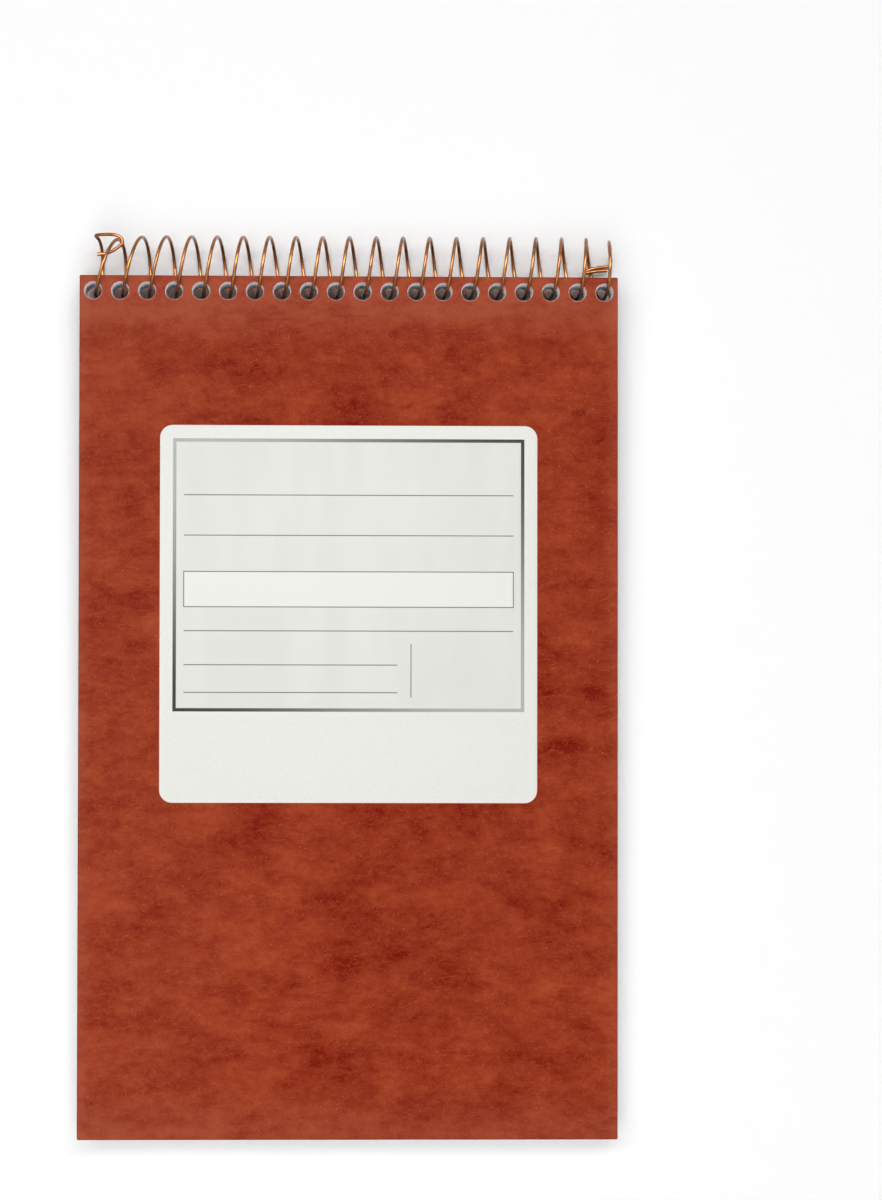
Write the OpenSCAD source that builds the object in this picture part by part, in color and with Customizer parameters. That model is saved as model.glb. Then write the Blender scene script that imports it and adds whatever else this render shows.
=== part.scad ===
// Top-bound writing pad: two pressboard covers, a block of ruled sheets and a paper label,
// held along the top edge by one spiral wire with crimped ends.
// X runs along the binding, Y up the sheets towards it, Z out of the front cover.
// The pad lies on its back, resting on the wire and on the lower edge of the back cover.

/* [Sheets] */
// Width of the sheets and covers in mm
sheet_width = 127; // [100:1:216]
// Height of the sheets and covers in mm
sheet_height = 203.2; // [150:1:300]
// Number of sheets in the block
sheet_count = 80; // [60:1:100]
// Thickness of one sheet in mm
sheet_thickness = 0.1; // [0.08:0.01:0.12]

/* [Covers] */
// Thickness of each pressboard cover in mm
cover_thickness = 0.5; // [0.3:0.1:1]

/* [Label] */
// Side of the square label in mm
label_side = 88.9; // [40:1:95]
// Gap from the cover's top edge to the label in mm
label_drop = 35.3; // [15:0.1:55]
// Corner radius of the label in mm
label_corner = 3; // [1:0.5:8]
// Thickness of the label in mm
label_thickness = 0.1; // [0.08:0.01:0.2]

/* [Binding] */
// Spacing of the punched holes in mm
hole_pitch = 6.35; // [5.8:0.05:7.2]
// Diameter of the punched holes in mm
hole_diameter = 4.1; // [3.8:0.1:4.5]
// Gap from the top edge to the hole centres in mm
hole_inset = 3.6; // [2.8:0.1:4.5]
// Diameter of the wire in mm
wire_diameter = 0.8; // [0.6:0.05:0.85]
// How far the wire's centre line stands off the covers in mm
wire_stand = 2.6; // [2:0.1:3]
// How far the first loop leans to the right in mm
left_lean = 2.4; // [1:0.1:2.6]
// How far the last loop leans to the left in mm
right_lean = 1.9; // [1.6:0.1:2.1]

/* [Hidden] */
block_thickness = sheet_count * sheet_thickness;
half_block = block_thickness / 2;
half_pad = half_block + cover_thickness;
hole_count = floor(sheet_width / hole_pitch + 0.01);
first_hole = -(hole_count - 1) * hole_pitch / 2;
wire_radius = wire_diameter / 2;
coil_radius = half_pad + wire_stand;
// Depth of the arc that the wire makes inside the pad, which is centred in the holes
arc_reach = sqrt(coil_radius * coil_radius - half_pad * half_pad);
coil_y = -hole_inset + (coil_radius + arc_reach) / 2;
// The pad rests on the coil and on its lower back edge, so it lies at a slight slope
rest_arm = norm([sheet_height + coil_y, half_pad]);
rest_slope = asin((coil_radius + wire_radius) / rest_arm) - atan2(half_pad, sheet_height + coil_y);
last_hole = first_hole + (hole_count - 1) * hole_pitch;
steps_a_turn = 18;
wire_sides = 8;
// How far right of the holes' middles the wire lies
wire_shift = 0.3;
// How far the front and the back of the first loop spread apart from its middle
left_spread = 0.6;
// How much lower the first and the last loop stand than the others
end_drop = 0.75;
// The crimped ends are drawn on a coil of this radius and fitted to the one at hand
crimp_radius = 7.1;
crimp_scale = coil_radius / crimp_radius;
crimp_growth = coil_radius - crimp_radius;
// Place of the first loop's peak that the hook is drawn round, and how far right and up the hook reaches
hook_peak = 5.875;
hook_right = 6.7;
hook_top = 7.52;
start_stretch = 1 + (hole_pitch / 2 + wire_shift + left_lean - hook_peak) / hook_right;
// Where the last loop leaves the coil: its height over the coil's axis and its place right of the last hole
finish_height = 3.55;
finish_offset = 2.759;
last_turn = hole_count - 1 + (180 + acos(finish_height / coil_radius)) / 360;
overall_height = sheet_height + coil_y + hook_top + crimp_growth + wire_radius;

// Puts the pad, drawn from its top edge and mid thickness, on the table and centres it there.
module at_rest() {
    translate([0, -overall_height / 2, 0])
        rotate([rest_slope, 0, 0])
            translate([0, sheet_height, half_pad])
                children();
}

// A punched sheet of board or paper from height low to height high.
module punched_board(low, high) {
    difference() {
        translate([-sheet_width / 2, -sheet_height, low])
            cube([sheet_width, sheet_height, high - low]);
        for (i = [0 : hole_count - 1])
            translate([first_hole + i * hole_pitch, -hole_inset, low - 1])
                cylinder(d = hole_diameter, h = high - low + 2, $fn = 48);
    }
}

module back_cover() {
    color([0.59, 0.22, 0.13])
        at_rest()
            punched_board(-half_pad, -half_block);
}

module page_block() {
    color([0.95, 0.95, 0.97])
        at_rest()
            punched_board(-half_block, half_block);
}

module front_cover() {
    color([0.59, 0.22, 0.13])
        at_rest()
            punched_board(half_block, half_pad);
}

// Square label with round corners, stuck to the front cover.
module front_label() {
    flat = label_side - 2 * label_corner;
    color([0.93, 0.92, 0.9])
        at_rest()
            translate([0, -label_drop - label_side / 2, half_pad])
                union() {
                    translate([-label_side / 2, -flat / 2, 0])
                        cube([label_side, flat, label_thickness]);
                    translate([-flat / 2, -label_side / 2, 0])
                        cube([flat, label_side, label_thickness]);
                    for (x = [-1, 1], y = [-1, 1])
                        translate([x * flat / 2, y * flat / 2, 0])
                            cylinder(r = label_corner, h = label_thickness, $fn = 48);
                }
}

// Share of a loop's lean at an angle round the coil: none in the holes, all at the peak.
function lean_share(angle) =
    let (height = (1 + cos(angle)) / 2)
    angle > 0 ? height : pow(height, 0.6);

// Lean to the right, by place along the binding from -1 at the first peak to 1 at the last one.
function lean_at(place) = place < 0 ? -left_lean * pow(place, 3) : -right_lean * pow(place, 6);

// How far a loop's front lies to the left and its back to the right, by place along the binding.
function spread_at(place) = left_spread * pow(min(place, 0), 2);

// How much lower a loop stands at its peak, by place along the binding.
function drop_at(place) = end_drop * pow(min(abs(place), 1), 16);

// Point on the coil after a number of turns from the middle of the first hole.
function coil_point(turns) =
    let (
        loop = floor(turns + 0.0001),
        angle = 180 - 360 * (turns - loop),
        place = 2 * (turns - 0.5) / (hole_count - 1) - 1,
        height = (1 + cos(angle)) / 2,
        aside = lean_at(place) * lean_share(angle) - spread_at(place) * sin(angle)
    )
    [
        first_hole + hole_pitch * turns + wire_shift + aside,
        coil_y + coil_radius * cos(angle) - drop_at(place) * height * height,
        coil_radius * sin(angle)
    ];

// Crimped start, from the tip of the hook round the first loop and down the back into the first hole.
start_crimp = [
    [0.8, 2.55, 2.6], [1.75, 2.55, 2.6], [3.1, 2.8, 2.5], [4.35, 3.35, 2.4], [5.4, 4.05, 2.3],
    [6.2, 4.65, 2.25], [6.65, 5.2, 2.2], [hook_right, 5.88, 2.2], [6.35, 6.52, 2.2], [5.65, 7, 2.15],
    [4.8, 7.26, 2], [3.8, 7.4, 1.65], [2.75, 7.48, 1.2], [1.6, hook_top, 0.6], [0.9, hook_top, 0.2],
    [0.46, 7.48, -0.1], [0.25, 7.4, -0.5], [0.32, 7.27, -0.95], [0.58, 7.08, -1.45], [0.86, 6.8, -2.1],
    [1.1, 6.3, -3.28], [1.28, 5.5, -4.5], [1.42, 4.2, -5.72], [1.5, 2.1, -6.78], [1.42, -0.6, -7.07],
    [1.28, -2.9, -6.48], [1, -4.65, -5.37], [0.65, -6, -3.8], [0.4, -6.88, -1.78]
];

// Crimped finish, from the back of the last loop to the loop before it and back.
finish_crimp = [
    [2.72, 2.65, -6.4], [2.62, 2.2, -6.48], [2.38, 1.85, -6.48], [1.95, 1.67, -6.4], [1.4, 1.57, -6.3],
    [0.3, 1.41, -6.18], [-1.45, 1.1, -6], [-2.4, 0.83, -6], [-3.1, 0.61, -6.05], [-3.5, 0.5, -5.95],
    [-3.66, 0.29, -5.65], [-3.5, 0.08, -5.35], [-3.1, -0.03, -5.22], [-2.4, 0.1, -5.28],
    [-0.7, 0.36, -5.35], [0.3, 0.46, -5.45], [1.8, 0.54, -5.55]
];

// Fits a point of the start to the first hole and to the coil's radius.
function start_point(p) =
    let (rise = p[1] < 0 ? p[1] * crimp_scale : p[1] + crimp_growth * min(1, p[1] / 5.5))
    [first_hole + p[0] * start_stretch, coil_y + rise, p[2] * crimp_scale];

// Fits a point of the finish to the last hole and to the back of the coil.
function finish_point(p) =
    let (stretch = (coil_point(last_turn)[0] - last_hole) / finish_offset)
    [last_hole + p[0] * stretch, coil_y + p[1], p[2] - crimp_growth];

// Point on a smooth curve through a list of points, at a share of the way from one to the next.
function curve_point(points, i, t) =
    let (
        last = len(points) - 1,
        a = points[max(i - 1, 0)],
        b = points[i],
        c = points[min(i + 1, last)],
        d = points[min(i + 2, last)]
    )
    b + 0.5 * t * (c - a + t * (2 * a - 5 * b + 4 * c - d + t * (3 * (b - c) + d - a)));

// A crimp's points with one more between each pair.
function smoothed(points) =
    [for (i = [0 : len(points) - 1], t = [0, 0.5]) if (i < len(points) - 1 || t == 0) curve_point(points, i, t)];

coil_path = [for (k = [0 : floor(last_turn * steps_a_turn + 0.01)]) coil_point(k / steps_a_turn)];
wire_path = concat(
    smoothed([for (p = start_crimp) start_point(p)]),
    coil_path,
    smoothed([for (p = finish_crimp) finish_point(p)])
);

function unit(v) = v / norm(v);

// Direction of the path at a point.
function heading(path, i) = unit(path[min(i + 1, len(path) - 1)] - path[max(i - 1, 0)]);

// A direction across the path, carried on from the last one.
function square_to(direction, ahead) = unit(direction - (direction * ahead) * ahead);

// Ring of points round the path.
function ring(centre, ahead, across) =
    let (up = cross(ahead, across))
    [for (k = [0 : wire_sides - 1])
        centre + wire_radius * (cos(360 * k / wire_sides) * across + sin(360 * k / wire_sides) * up)];

// Round wire along a path, closed at both ends.
module wire(path) {
    count = len(path);
    across = [
        for (i = 0, v = square_to([0, 0, 1], heading(path, 0)); i < count;
            i = i + 1, v = square_to(v, heading(path, min(i, count - 1))))
            v
    ];
    points = [for (i = [0 : count - 1]) each ring(path[i], heading(path, i), across[i])];
    sides = [
        for (i = [0 : count - 2], k = [0 : wire_sides - 1])
            let (
                a = i * wire_sides + k,
                b = i * wire_sides + (k + 1) % wire_sides,
                c = a + wire_sides,
                d = b + wire_sides
            )
            each [[a, c, b], [b, c, d]]
    ];
    first_end = [for (k = [0 : wire_sides - 1]) k];
    last_end = [for (k = [wire_sides - 1 : -1 : 0]) (count - 1) * wire_sides + k];
    polyhedron(points = points, faces = concat(sides, [first_end, last_end]), convexity = 20);
}

module wire_coil() {
    color([0.72, 0.42, 0.2])
        at_rest()
            wire(wire_path);
}

back_cover();
page_block();
front_cover();
front_label();
wire_coil();
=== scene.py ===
"""Dresses a spiral-bound writing pad: two covers, ruled sheets, a paper label and a coiled wire."""

import logging
import math
import random
from contextlib import contextmanager
from dataclasses import dataclass, field
from enum import Enum
from typing import Callable, Iterator, Sequence, Union

import bmesh
import bpy
import numpy as np
from mathutils import Matrix, Vector


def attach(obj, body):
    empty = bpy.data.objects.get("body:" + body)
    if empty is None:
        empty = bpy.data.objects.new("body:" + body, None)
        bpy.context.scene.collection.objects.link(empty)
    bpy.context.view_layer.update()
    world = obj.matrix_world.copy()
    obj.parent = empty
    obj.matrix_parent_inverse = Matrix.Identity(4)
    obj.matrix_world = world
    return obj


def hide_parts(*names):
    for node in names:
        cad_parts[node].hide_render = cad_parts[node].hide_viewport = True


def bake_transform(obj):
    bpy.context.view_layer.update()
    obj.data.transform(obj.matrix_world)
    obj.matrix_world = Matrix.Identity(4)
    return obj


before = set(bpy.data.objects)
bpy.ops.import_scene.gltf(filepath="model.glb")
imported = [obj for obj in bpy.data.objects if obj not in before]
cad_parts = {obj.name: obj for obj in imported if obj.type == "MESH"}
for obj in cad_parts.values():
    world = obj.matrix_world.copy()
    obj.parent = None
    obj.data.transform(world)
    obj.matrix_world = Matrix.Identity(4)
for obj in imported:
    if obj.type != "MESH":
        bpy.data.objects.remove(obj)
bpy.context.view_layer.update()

LOG = logging.getLogger("writing_pad")
MM = 0.001
# Points closer than this along Z count as level with each other
LEVEL = 0.001 * MM
# Edges that rise by more than this count as upright
RISE = 0.05 * MM
# Faces that meet at less than this angle are shaded as one
SMOOTH_ANGLE = math.radians(40)
# Levels between which nearly all of a noise lies
NOISE_RANGE = (0.3, 0.7)

Colour = tuple[float, float, float, float]
Triple = tuple[float, float, float]
Pair = tuple[float, float]
Socket = bpy.types.NodeSocket
Value = Union[Socket, float]
Tint = Union[Socket, Colour]

WHITE: Colour = (1.0, 1.0, 1.0, 1.0)


class Body(Enum):
    """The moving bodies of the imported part."""

    SHEETS = "sheets"
    FRONT = "front_cover"
    BACK = "back_cover"


class Slot(Enum):
    """The record's material slots."""

    PRESSBOARD = "pressboard"
    PAPER = "paper"
    LABEL = "label"
    WIRE = "wire"


@dataclass(frozen=True)
class PadSizes:
    """Sizes of the pad in metres, as the part's source has them.

    The pad's own frame has its origin on the sheets' top edge, half-way through the pad. X runs along the
    binding, Y up the sheets and Z out of the front cover.
    """

    sheet_width: float = 127 * MM
    sheet_height: float = 203.2 * MM
    sheet_count: int = 80
    sheet_thickness: float = 0.1 * MM
    cover_thickness: float = 0.5 * MM
    label_side: float = 88.9 * MM
    label_drop: float = 35.3 * MM
    label_corner: float = 3 * MM
    label_thickness: float = 0.1 * MM
    hole_count: int = 20
    hole_pitch: float = 6.35 * MM
    hole_radius: float = 2.05 * MM
    hole_inset: float = 3.6 * MM
    wire_radius: float = 0.4 * MM
    wire_stand: float = 2.6 * MM
    wire_shift: float = 0.3 * MM
    left_lean: float = 2.4 * MM
    right_lean: float = 1.9 * MM
    left_spread: float = 0.6 * MM
    end_drop: float = 0.75 * MM
    hook_top: float = 7.52 * MM

    @property
    def half_block(self) -> float:
        """Half the thickness of the block of sheets."""
        return self.sheet_count * self.sheet_thickness / 2

    @property
    def half_pad(self) -> float:
        """Half the thickness of the block and both covers."""
        return self.half_block + self.cover_thickness

    @property
    def first_hole(self) -> float:
        """X of the first hole on the left."""
        return -(self.hole_count - 1) * self.hole_pitch / 2

    @property
    def coil_radius(self) -> float:
        """Radius of the coil to the middle of its wire."""
        return self.half_pad + self.wire_stand

    @property
    def arc_reach(self) -> float:
        """How far below its axis the coil passes through the covers."""
        return math.sqrt(self.coil_radius**2 - self.half_pad**2)

    @property
    def coil_y(self) -> float:
        """Height of the coil's axis over the top edge."""
        return (self.coil_radius + self.arc_reach) / 2 - self.hole_inset

    @property
    def rest_slope(self) -> float:
        """Slope in radians at which the pad rests on its coil and its lower back edge."""
        run = self.sheet_height + self.coil_y
        arm = math.hypot(run, self.half_pad)
        return math.asin((self.coil_radius + self.wire_radius) / arm) - math.atan2(self.half_pad, run)

    @property
    def overall_height(self) -> float:
        """Height of the pad and its coil along the sheets."""
        return self.sheet_height + self.coil_y + self.hook_top + self.wire_radius

    @property
    def rest_matrix(self) -> Matrix:
        """Takes the pad's own frame to the row frame."""
        lift = Matrix.Translation((0, self.sheet_height, self.half_pad))
        centre = Matrix.Translation((0, -self.overall_height / 2, 0))
        return centre @ Matrix.Rotation(self.rest_slope, 4, "X") @ lift

    @property
    def label_centre(self) -> Vector:
        """Centre of the label's underside."""
        return Vector((0, -self.label_drop - self.label_side / 2, self.half_pad))

    def hole_offset(self, point: Vector) -> float:
        """Distance in the sheet's plane from a point to the nearest hole's centre.

        Args:
            point: A point in the pad's own frame.

        Returns:
            The distance in metres.
        """
        place = (point.x - self.first_hole) / self.hole_pitch
        nearest = min(max(round(place), 0), self.hole_count - 1)
        return math.hypot((place - nearest) * self.hole_pitch, point.y + self.hole_inset)

    def inset(self, point: Vector) -> float:
        """Distance in the sheet's plane from a point to the nearest side of the sheet's outline.

        Args:
            point: A point in the pad's own frame.

        Returns:
            The distance in metres.
        """
        return min(self.sheet_width / 2 - abs(point.x), -point.y, point.y + self.sheet_height)


def pick(obj: bpy.types.Object) -> None:
    """Makes one object the only selected and the active one."""
    bpy.ops.object.select_all(action="DESELECT")
    obj.select_set(True)
    bpy.context.view_layer.objects.active = obj


@contextmanager
def editing(obj: bpy.types.Object, kind: str = "EDGE") -> Iterator[None]:
    """Opens an object in edit mode with nothing selected.

    Args:
        obj: The mesh object.
        kind: The kind of element to select.
    """
    pick(obj)
    bpy.ops.object.mode_set(mode="EDIT")
    bpy.ops.mesh.select_mode(type=kind)
    bpy.ops.mesh.select_all(action="DESELECT")
    try:
        yield
    finally:
        bpy.ops.object.mode_set(mode="OBJECT")


def bevel_edges(
    obj: bpy.types.Object, test: Callable[[Vector, Vector], bool], width: float, segments: int
) -> None:
    """Rounds the edges whose two ends pass a test.

    Args:
        obj: The mesh object.
        test: Says of an edge's two ends if the edge is rounded.
        width: Width of the bevel in metres.
        segments: Number of faces across the bevel.
    """
    with editing(obj):
        mesh = bmesh.from_edit_mesh(obj.data)
        for edge in mesh.edges:
            edge.select_set(test(edge.verts[0].co, edge.verts[1].co))
        bmesh.update_edit_mesh(obj.data)
        bpy.ops.mesh.bevel(offset=width, segments=segments, profile=0.5, affect="EDGES")


def upright(first: Vector, second: Vector) -> bool:
    """Whether an edge between two points stands across the sheet's plane."""
    return abs(first.z - second.z) > RISE


def slab(name: str, low: Vector, high: Vector) -> bpy.types.Object:
    """Adds a cube primitive stretched between two corners.

    Args:
        name: Name of the new object.
        low: Its lowest corner.
        high: Its highest corner.

    Returns:
        The new object, with its place in its mesh.
    """
    bpy.ops.object.select_all(action="DESELECT")
    bpy.ops.mesh.primitive_cube_add(size=1, location=(low + high) / 2)
    obj = bpy.context.active_object
    obj.name = name
    obj.scale = high - low
    bpy.ops.object.transform_apply(location=True, rotation=True, scale=True)
    return obj


def apply_modifiers(obj: bpy.types.Object) -> None:
    """Applies every modifier of an object in order."""
    pick(obj)
    for name in [modifier.name for modifier in obj.modifiers]:
        bpy.ops.object.modifier_apply(modifier=name)


def repeat(obj: bpy.types.Object, count: int, offset: Triple) -> None:
    """Repeats a mesh along a line.

    Args:
        obj: The mesh object.
        count: Number of copies, with the first.
        offset: Step from one copy to the next.
    """
    row = obj.modifiers.new("row", "ARRAY")
    row.count = count
    row.use_relative_offset = False
    row.use_constant_offset = True
    row.constant_offset_displace = offset
    apply_modifiers(obj)


def punch_holes(obj: bpy.types.Object, sizes: PadSizes, low: float, high: float, sides: int) -> None:
    """Punches the row of binding holes through a slab.

    Args:
        obj: The slab.
        sizes: The pad's sizes.
        low: Underside of the slab.
        high: Upper side of the slab.
        sides: Number of sides of each hole.
    """
    middle = (sizes.first_hole, -sizes.hole_inset, (low + high) / 2)
    depth = 3 * (high - low)
    bpy.ops.object.select_all(action="DESELECT")
    bpy.ops.mesh.primitive_cylinder_add(
        vertices=sides, radius=sizes.hole_radius, depth=depth, location=middle
    )
    punch = bpy.context.active_object
    bpy.ops.object.transform_apply(location=True, rotation=True, scale=True)
    repeat(punch, sizes.hole_count, (sizes.hole_pitch, 0, 0))
    cut = obj.modifiers.new("punch", "BOOLEAN")
    cut.operation = "DIFFERENCE"
    cut.solver = "EXACT"
    cut.object = punch
    apply_modifiers(obj)
    pick(punch)
    bpy.ops.object.delete()


def settle(obj: bpy.types.Object, sizes: PadSizes) -> None:
    """Turns a finished piece from the pad's own frame into the row frame and applies that.

    Args:
        obj: The piece.
        sizes: The pad's sizes.
    """
    pick(obj)
    obj.matrix_world = sizes.rest_matrix
    bpy.ops.object.transform_apply(location=True, rotation=True, scale=True)
    bpy.ops.object.shade_smooth_by_angle(angle=SMOOTH_ANGLE)


def coat(obj: bpy.types.Object, *finishes: bpy.types.Material) -> None:
    """Gives an object these finishes in place of any that it has.

    Args:
        obj: The object.
        finishes: Its finishes in order.
    """
    obj.data.materials.clear()
    for finish in finishes:
        obj.data.materials.append(finish)


def paint(red: int, green: int, blue: int) -> Colour:
    """Gives a screen colour, from 0 to 255, as the linear colour that a shader takes.

    Args:
        red: Red level.
        green: Green level.
        blue: Blue level.

    Returns:
        The linear colour with full alpha.
    """

    def linear(level: int) -> float:
        """One channel as a linear value."""
        share = level / 255
        return share / 12.92 if share <= 0.04045 else ((share + 0.055) / 1.055) ** 2.4

    return (linear(red), linear(green), linear(blue), 1.0)


class NodeDesk:
    """Lays out the nodes of one tree."""

    def __init__(self, tree: bpy.types.NodeTree) -> None:
        """Starts on a node tree.

        Args:
            tree: The node tree.
        """
        self.tree = tree

    def add(self, kind: str) -> bpy.types.Node:
        """Adds a node of one of Blender's kinds."""
        return self.tree.nodes.new(kind)

    def join(self, value: Union[Tint, float], target: Socket) -> None:
        """Links a socket to another, or sets a plain number or colour on it."""
        if isinstance(value, bpy.types.NodeSocket):
            self.tree.links.new(value, target)
        else:
            target.default_value = value

    def parts(self, vector: Socket) -> tuple[Socket, Socket, Socket]:
        """Splits a vector into X, Y and Z."""
        node = self.add("ShaderNodeSeparateXYZ")
        self.join(vector, node.inputs["Vector"])
        return node.outputs["X"], node.outputs["Y"], node.outputs["Z"]

    def math(self, operation: str, *values: Value) -> Socket:
        """One Math node.

        Args:
            operation: Blender's name of the operation.
            values: The numbers or sockets that it takes.

        Returns:
            The result's socket.
        """
        node = self.add("ShaderNodeMath")
        node.operation = operation
        for value, target in zip(values, node.inputs):
            self.join(value, target)
        return node.outputs["Value"]

    def band(self, value: Value, low: float, high: float, start: float = 0.0, end: float = 1.0) -> Socket:
        """Eases a value from one level to another.

        Args:
            value: The value.
            low: Where the change begins.
            high: Where the change ends.
            start: The level before it.
            end: The level after it.

        Returns:
            The eased level.
        """
        node = self.add("ShaderNodeMapRange")
        node.interpolation_type = "SMOOTHSTEP"
        for name, number in (("From Min", low), ("From Max", high), ("To Min", start), ("To Max", end)):
            node.inputs[name].default_value = number
        self.join(value, node.inputs["Value"])
        return node.outputs["Result"]

    def seen(self) -> Socket:
        """One for rays that see a surface, straight or in a mirror, and zero for rays that only light it."""
        rays = self.add("ShaderNodeLightPath").outputs
        mirrored = self.math("MAXIMUM", rays["Is Glossy Ray"], rays["Is Transmission Ray"])
        return self.math("MAXIMUM", rays["Is Camera Ray"], mirrored)

    def mix_shaders(self, factor: Socket, first: Socket, second: Socket) -> Socket:
        """Mixes two shaders.

        Args:
            factor: Share of the second shader.
            first: The first shader.
            second: The second shader.

        Returns:
            The mixed shader.
        """
        node = self.add("ShaderNodeMixShader")
        for value, target in zip((factor, first, second), node.inputs):
            self.join(value, target)
        return node.outputs["Shader"]


class NodeBench(NodeDesk):
    """Lays out the nodes of one material, on coordinates in millimetres in the pad's own frame."""

    def __init__(self, name: str, sizes: PadSizes) -> None:
        """Starts a material whose pattern lies square to the pad.

        Args:
            name: Name of the material.
            sizes: The pad's sizes.
        """
        self.material = bpy.data.materials.new(name)
        self.material.use_nodes = True
        super().__init__(self.material.node_tree)
        self.shader = self.tree.nodes["Principled BSDF"]
        source = self.add("ShaderNodeTexCoord")
        self.place = self.mapping(source.outputs["Object"], (MM, MM, MM), sizes.rest_slope, "X")
        self.place.node.inputs["Location"].default_value = sizes.rest_matrix.translation
        self.x, self.y, self.z = self.parts(self.place)
        self.normal = source.outputs["Normal"]

    def mapping(self, vector: Socket, scale: Sequence[float], turn: float = 0.0, axis: str = "Z") -> Socket:
        """Measures coordinates in units of a scale, after a turn.

        Args:
            vector: The coordinates.
            scale: Length of one unit along each axis.
            turn: Turn of the pattern in radians.
            axis: The axis of the turn.

        Returns:
            The new coordinates.
        """
        node = self.add("ShaderNodeMapping")
        node.vector_type = "TEXTURE"
        node.inputs["Rotation"].default_value["XYZ".index(axis)] = turn
        node.inputs["Scale"].default_value = scale
        self.join(vector, node.inputs["Vector"])
        return node.outputs["Vector"]

    def noise(
        self,
        size: Sequence[float],
        turn: float = 0.0,
        detail: float = 2.0,
        rough: float = 0.5,
        shift: float = 0.0,
    ) -> Socket:
        """Soft noise on the pad's coordinates.

        Args:
            size: Size of its features in millimetres along X, Y and Z.
            turn: Turn of the pattern about Z in radians.
            detail: Number of finer layers.
            rough: Strength of the finer layers.
            shift: Moves the pattern, so that two layers differ.

        Returns:
            A level round one half.
        """
        vector = self.mapping(self.place, size, turn)
        vector.node.inputs["Location"].default_value = (shift, shift, shift)
        node = self.add("ShaderNodeTexNoise")
        for name, number in (("Scale", 1.0), ("Detail", detail), ("Roughness", rough)):
            node.inputs[name].default_value = number
        self.join(vector, node.inputs["Vector"])
        return node.outputs["Fac"]

    def specks(self, spacing: float, radius: float, share: float, shift: float = 0.0) -> Socket:
        """Small round specks scattered over the surface.

        Args:
            spacing: Mean distance between the places a speck may have, in millimetres.
            radius: Radius of a speck in millimetres.
            share: Share of those places that have one.
            shift: Moves the pattern, so that two layers differ.

        Returns:
            A mask of the specks.
        """
        vector = self.mapping(self.place, (spacing, spacing, spacing))
        vector.node.inputs["Location"].default_value = (shift, shift, shift)
        node = self.add("ShaderNodeTexVoronoi")
        node.inputs["Scale"].default_value = 1.0
        self.join(vector, node.inputs["Vector"])
        chance = self.parts(node.outputs["Color"])[0]
        spot = self.band(node.outputs["Distance"], 0.5 * radius / spacing, radius / spacing, 1.0, 0.0)
        return self.math("MULTIPLY", spot, self.math("LESS_THAN", chance, share))

    def mix(self, factor: Value, first: Tint, second: Tint) -> Socket:
        """Mixes two colours.

        Args:
            factor: Share of the second colour.
            first: The first colour.
            second: The second colour.

        Returns:
            The mixed colour.
        """
        node = self.add("ShaderNodeMix")
        node.data_type = "RGBA"
        self.join(factor, node.inputs[0])
        self.join(first, node.inputs[6])
        self.join(second, node.inputs[7])
        return node.outputs[2]

    def rectangle(self, across: Socket, up: Socket, centre: Pair, half: Pair) -> Socket:
        """Mask of an upright rectangle.

        Args:
            across: Coordinate across.
            up: Coordinate up.
            centre: Centre of the rectangle.
            half: Half its width and height.

        Returns:
            The mask.
        """
        beside = self.math("COMPARE", across, centre[0], half[0])
        return self.math("MULTIPLY", beside, self.math("COMPARE", up, centre[1], half[1]))

    def finish(
        self, colour: Tint, roughness: Value, height: Socket, depth: float, specular: float
    ) -> bpy.types.Material:
        """Joins the pattern to the shader.

        Args:
            colour: Base colour.
            roughness: Roughness.
            height: Height of the surface's relief, from 0 to 1.
            depth: Depth of that relief in metres.
            specular: Specular level.

        Returns:
            The finished material.
        """
        bump = self.add("ShaderNodeBump")
        bump.inputs["Strength"].default_value = 1.0
        bump.inputs["Distance"].default_value = depth
        self.join(height, bump.inputs["Height"])
        self.join(bump.outputs["Normal"], self.shader.inputs["Normal"])
        self.join(colour, self.shader.inputs["Base Color"])
        self.join(roughness, self.shader.inputs["Roughness"])
        self.shader.inputs["Specular IOR Level"].default_value = specular
        return self.material


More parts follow.
